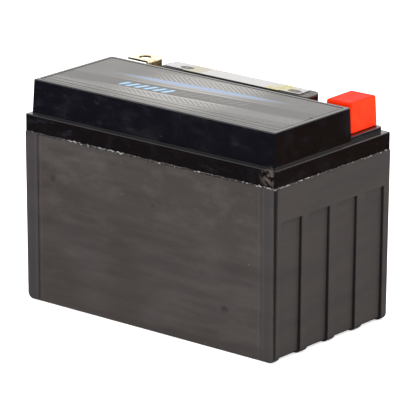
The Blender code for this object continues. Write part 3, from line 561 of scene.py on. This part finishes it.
def resin_look():
    """Poured resin, nearly black and fairly glossy."""
    look = Look("poured_resin")
    cloud = look.noise(2.4, 3, 0.6)
    color = look.mix(look.remap(cloud, 0.35, 0.65), (0.020, 0.020, 0.026), (0.042, 0.042, 0.052))
    look.bump(cloud, 0.05)
    look.set(Base_Color=color, Roughness=look.remap(cloud, 0.3, 0.7, 0.18, 0.34))
    return look


def porous_look():
    """Pale sintered plastic with open pores."""
    look = Look("porous_plastic")
    pores = look.cells(0.45)
    color = look.mix(look.remap(pores, 0.1, 0.6), (0.50, 0.50, 0.47), (0.80, 0.80, 0.77))
    look.bump(pores, 0.12)
    look.set(Base_Color=color, Roughness=look.remap(pores, 0.1, 0.6, 0.95, 0.82))
    return look


def flash_look():
    """Squeezed-out weld plastic: shiny black with pale torn edges."""
    look = Look("weld_flash_plastic")
    torn = look.noise(1.3, 4, 0.7)
    color = look.mix(look.remap(torn, 0.56, 0.66, 0, 0.8), (0.012, 0.011, 0.011), (0.20, 0.19, 0.185))
    look.bump(torn, 0.12)
    look.set(Base_Color=color, Roughness=look.remap(torn, 0.3, 0.7, 0.22, 0.45), IOR=1.50)
    return look


def crumb_look():
    """Torn weld plastic: black, with whitened breaks."""
    look = Look("torn_plastic")
    pale = look.noise(2.0, 3, 0.6)
    color = look.mix(look.remap(pale, 0.42, 0.6), (0.030, 0.028, 0.027), (0.34, 0.33, 0.32))
    look.bump(look.noise(0.2, 2, 0.6), 0.03)
    look.set(Base_Color=color, Roughness=look.remap(pale, 0.3, 0.7, 0.25, 0.45), IOR=1.50)
    return look


use(case_look(), "case")
use(lid_look(), "lid")
use(strip_look(), "plug_strip")
use(cap_look(), "terminal_cap")
use(top_label_look(), "top_label")
use(strip_label_look(), "strip_label")
use(brass_look(), "negative_terminal", "positive_terminal")
use(lead_look(), "negative_post", "positive_post", *named("intercell_weld"))
use(paste_look("positive_paste", (0.075, 0.030, 0.016), (0.150, 0.066, 0.038)), *named("positive_plates"))
use(paste_look("negative_paste", (0.170, 0.175, 0.185), (0.270, 0.280, 0.290)), *named("negative_plates"))
use(mat_look(), *named("separator"))
use(rubber_look(), "safety_valve")
use(resin_look(), "negative_post_seal", "positive_post_seal")
use(porous_look(), "flame_arrestor")


# --- softened edges on the CAD nodes ---------------------------------------------------------------------


SHARP_ANGLE = math.radians(40)


def soften(name, width):
    """Rounds a node's sharp edges a little, so that they catch the light."""
    bevel = NODES[name].modifiers.new("soft_edges", "BEVEL")
    bevel.width = width
    bevel.segments = 2
    bevel.limit_method = "ANGLE"
    bevel.angle_limit = SHARP_ANGLE
    bevel.harden_normals = False


soften("terminal_cap", 0.35 * MM)
soften("negative_terminal", 0.15 * MM)
soften("positive_terminal", 0.15 * MM)


# --- weld bead -------------------------------------------------------------------------------------------


def add_weld_piece(name, bm, look, smooth):
    """Makes the object of a piece of weld plastic with the look given, and attaches it to the battery."""
    mesh = bpy.data.meshes.new(name)
    bmesh.ops.recalc_face_normals(bm, faces=bm.faces)
    bm.to_mesh(mesh)
    bm.free()
    if smooth:
        mesh.shade_smooth()
    mesh.materials.append(look.material)
    obj = bpy.data.objects.new(name, mesh)
    bpy.context.scene.collection.objects.link(obj)
    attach(obj, "battery")


def perimeter(half_x, half_y, radius, step):
    """Evenly spaced (point, outward direction) round a rounded rectangle."""
    straight_x, straight_y = half_x - radius, half_y - radius
    corner_steps = max(3, int(radius * math.pi / 2 / step))
    stops = []
    for x, y, dx, dy, length in (
        (half_x, -straight_y, 0, 1, 2 * straight_y),
        (straight_x, half_y, -1, 0, 2 * straight_x),
        (-half_x, straight_y, 0, -1, 2 * straight_y),
        (-straight_x, -half_y, 1, 0, 2 * straight_x),
    ):
        outward = Vector((dy, -dx, 0))
        count = int(length / step)
        for index in range(count):
            share = (index + 0.5) / count * length
            stops.append((Vector((x + dx * share, y + dy * share, 0)), outward))
        corner_x = x + dx * length - radius * outward.x
        corner_y = y + dy * length - radius * outward.y
        start = math.atan2(outward.y, outward.x)
        for index in range(corner_steps):
            angle = start + math.pi / 2 * (index + 0.5) / corner_steps
            way = Vector((math.cos(angle), math.sin(angle), 0))
            stops.append((Vector((corner_x, corner_y, 0)) + radius * way, way))
    return stops


FLANGE_RADIUS = 0.7 * MM
BEAD_SIDES = 8
BEAD_STEP = 0.45 * MM
BEAD_INSET = 0.1 * MM
BEAD_LEAST_REACH = 0.12 * MM


def weld_flash():
    """The uneven bead that the hot-plate weld squeezes out between case and lid."""
    lid_low, lid_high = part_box("lid")
    seam = (lid_low.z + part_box("case")[1].z) / 2
    bm = bmesh.new()
    rings = []
    half_x = lid_high.x - BEAD_INSET
    half_y = lid_high.y - BEAD_INSET
    for point, outward in perimeter(half_x, half_y, FLANGE_RADIUS, BEAD_STEP):
        wave = noise.noise(point * 170) + 0.6 * noise.noise(point * 620 + Vector((5, 0, 0)))
        reach = max((0.34 + 0.20 * wave) * MM, BEAD_LEAST_REACH)
        tall = (0.42 + 0.26 * noise.noise(point * 410 + Vector((0, 9, 0)))) * MM
        lift = 0.22 * noise.noise(point * 240 + Vector((3, 3, 0))) * MM
        centre = point + Vector((0, 0, seam + lift))
        ring = []
        for side in range(BEAD_SIDES):
            angle = 2 * math.pi * side / BEAD_SIDES
            offset = outward * reach * math.cos(angle) + Vector((0, 0, tall * math.sin(angle)))
            ring.append(bm.verts.new(centre + offset))
        rings.append(ring)
    for ring, following in zip(rings, rings[1:] + rings[:1]):
        for side in range(BEAD_SIDES):
            other = (side + 1) % BEAD_SIDES
            bm.faces.new((ring[side], ring[other], following[other], following[side]))
    add_weld_piece("weld_flash", bm, flash_look(), smooth=True)


TORN_NEAR_X = ((-48 * MM, -13 * MM), (55 * MM, 76 * MM))


def torn_share(point):
    """How much more the weld bead is torn here: on two stretches of the -Y side and one of the +X end."""
    on_near = point.y < 0 and any(low < point.x < high for low, high in TORN_NEAR_X)
    on_end = point.x > 74 * MM and point.y > 22 * MM
    return 0.55 if on_near or on_end else 0.0


def flash_crumbs():
    """Torn crumbs of the weld bead, thicker in some stretches than in others."""
    chance = random.Random(11)
    lid_low, lid_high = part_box("lid")
    bm = bmesh.new()
    for point, outward in perimeter(lid_high.x, lid_high.y, FLANGE_RADIUS, 0.5 * MM):
        crowd = noise.noise(point * 55 + Vector((0, 0, 7)))
        if chance.random() > 0.12 + 0.40 * crowd + torn_share(point):
            continue
        size = chance.uniform(0.14, 0.42) * MM
        made = bmesh.ops.create_icosphere(bm, subdivisions=1, radius=1)
        along = Vector((-outward.y, outward.x, 0))
        long = size * chance.uniform(1.0, 3.0)
        high = size * chance.uniform(0.5, 1.1)
        middle = point + outward * 0.12 * MM
        middle.z = lid_low.z + chance.uniform(-0.45, 0.30) * MM
        for vert in made["verts"]:
            local = vert.co * chance.uniform(0.75, 1.25)
            vert.co = middle + along * local.x * long + outward * local.y * size * 0.6
            vert.co.z += local.z * high
    add_weld_piece("weld_crumbs", bm, crumb_look(), smooth=False)


weld_flash()
flash_crumbs()


# --- floor, light, camera --------------------------------------------------------------------------------

FLOOR_GLOW = 0.5
FLOOR_DROP = 0.05 * MM
HORIZON_LIGHT = 1.55
ZENITH_LIGHT = 0.55
SCREEN_SIDE = (0.63, -0.77, 0)
SCREEN_LIGHT = 0.06
OVERHEAD_HEIGHT = 2.2
OVERHEAD_SIZE = 3.0
OVERHEAD_POWER = 45

CAMERA_AZIMUTH = math.radians(39.37)
CAMERA_ELEVATION = math.radians(17.08)
CAMERA_ROLL = math.radians(0.25)
CAMERA_TARGET = Vector((0, 0, 0.052))
CAMERA_DISTANCE = 1.7508
CAMERA_ASIDE = 0.00086
CAMERA_RAISED = -0.0026
LENS = 324.5


def floor():
    """A pale floor that glows a little, which keeps shadows faint, and looks dim in reflections."""
    bm = bmesh.new()
    bmesh.ops.create_grid(bm, x_segments=1, y_segments=1, size=4.0)
    mesh = bpy.data.meshes.new("floor")
    bm.to_mesh(mesh)
    bm.free()
    obj = bpy.data.objects.new("floor", mesh)
    obj.location.z = -FLOOR_DROP
    bpy.context.scene.collection.objects.link(obj)
    made = bpy.data.materials.new("pale_floor")
    made.use_nodes = True
    tree = made.node_tree
    pale = tree.nodes["Principled BSDF"]
    pale.inputs["Base Color"].default_value = (0.90, 0.90, 0.90, 1)
    pale.inputs["Roughness"].default_value = 1.0
    pale.inputs["Specular IOR Level"].default_value = 0.0
    pale.inputs["Emission Color"].default_value = (1, 1, 1, 1)
    pale.inputs["Emission Strength"].default_value = FLOOR_GLOW
    dim = tree.nodes.new("ShaderNodeBsdfDiffuse")
    dim.inputs["Color"].default_value = (0.035, 0.035, 0.040, 1)
    ray = tree.nodes.new("ShaderNodeLightPath")
    mix = tree.nodes.new("ShaderNodeMixShader")
    tree.links.new(ray.outputs["Is Glossy Ray"], mix.inputs[0])
    tree.links.new(pale.outputs[0], mix.inputs[1])
    tree.links.new(dim.outputs[0], mix.inputs[2])
    tree.links.new(mix.outputs[0], tree.nodes["Material Output"].inputs["Surface"])
    mesh.materials.append(made)


def world_step(tree, value, low, high, to_low, to_high):
    """A smooth step of value from low..high to to_low..to_high."""
    made = tree.nodes.new("ShaderNodeMapRange")
    made.interpolation_type = "SMOOTHSTEP"
    for name, number in (("From Min", low), ("From Max", high), ("To Min", to_low), ("To Max", to_high)):
        made.inputs[name].default_value = number
    tree.links.new(value, made.inputs["Value"])
    return made.outputs["Result"]


def world():
    """Bright surroundings, dimmer overhead, and a dark screen to one side that only reflections show."""
    made = bpy.data.worlds.new("studio")
    made.use_nodes = True
    tree = made.node_tree
    background = tree.nodes["Background"]
    background.inputs["Color"].default_value = (1.0, 0.985, 0.965, 1)
    direction = tree.nodes.new("ShaderNodeTexCoord").outputs["Generated"]
    split = tree.nodes.new("ShaderNodeSeparateXYZ")
    tree.links.new(direction, split.inputs[0])
    sky = world_step(tree, split.outputs["Z"], 0.55, 0.90, HORIZON_LIGHT, ZENITH_LIGHT)

    toward = tree.nodes.new("ShaderNodeVectorMath")
    toward.operation = "DOT_PRODUCT"
    toward.inputs[1].default_value = SCREEN_SIDE
    tree.links.new(direction, toward.inputs[0])
    screen = world_step(tree, toward.outputs["Value"], 0.50, 0.75, 1.0, SCREEN_LIGHT)
    ray = tree.nodes.new("ShaderNodeLightPath")
    seen = tree.nodes.new("ShaderNodeMix")
    tree.links.new(ray.outputs["Is Glossy Ray"], seen.inputs[0])
    seen.inputs[2].default_value = 1.0
    tree.links.new(screen, seen.inputs[3])

    strength = tree.nodes.new("ShaderNodeMath")
    strength.operation = "MULTIPLY"
    tree.links.new(sky, strength.inputs[0])
    tree.links.new(seen.outputs[0], strength.inputs[1])
    tree.links.new(strength.outputs[0], background.inputs["Strength"])
    bpy.context.scene.world = made


def overhead():
    """One wide soft light straight above, facing down."""
    light = bpy.data.lights.new("overhead", "AREA")
    light.shape = "RECTANGLE"
    light.size = OVERHEAD_SIZE
    light.size_y = OVERHEAD_SIZE
    light.energy = OVERHEAD_POWER
    obj = bpy.data.objects.new("overhead", light)
    bpy.context.scene.collection.objects.link(obj)
    obj.location.z = OVERHEAD_HEIGHT


def camera():
    """A long lens that looks down a little on the -Y side and the +X end."""
    back = Vector((
        math.sin(CAMERA_AZIMUTH) * math.cos(CAMERA_ELEVATION),
        -math.cos(CAMERA_AZIMUTH) * math.cos(CAMERA_ELEVATION),
        math.sin(CAMERA_ELEVATION),
    ))
    right = back.cross(Vector((0, 0, -1))).normalized()
    up = back.cross(right)
    right, up = (
        math.cos(CAMERA_ROLL) * right + math.sin(CAMERA_ROLL) * up,
        math.cos(CAMERA_ROLL) * up - math.sin(CAMERA_ROLL) * right,
    )
    data = bpy.data.cameras.new("camera")
    data.sensor_width = 36
    data.lens = LENS
    data.clip_start = 0.1
    data.clip_end = 20
    obj = bpy.data.objects.new("camera", data)
    bpy.context.scene.collection.objects.link(obj)
    place = CAMERA_TARGET + CAMERA_DISTANCE * back + CAMERA_ASIDE * right + CAMERA_RAISED * up
    turn = Matrix((right, up, back)).transposed().to_4x4()
    obj.matrix_world = Matrix.Translation(place) @ turn
    bpy.context.scene.camera = obj


floor()
world()
overhead()
camera()
bpy.context.scene.view_settings.view_transform = "Standard"
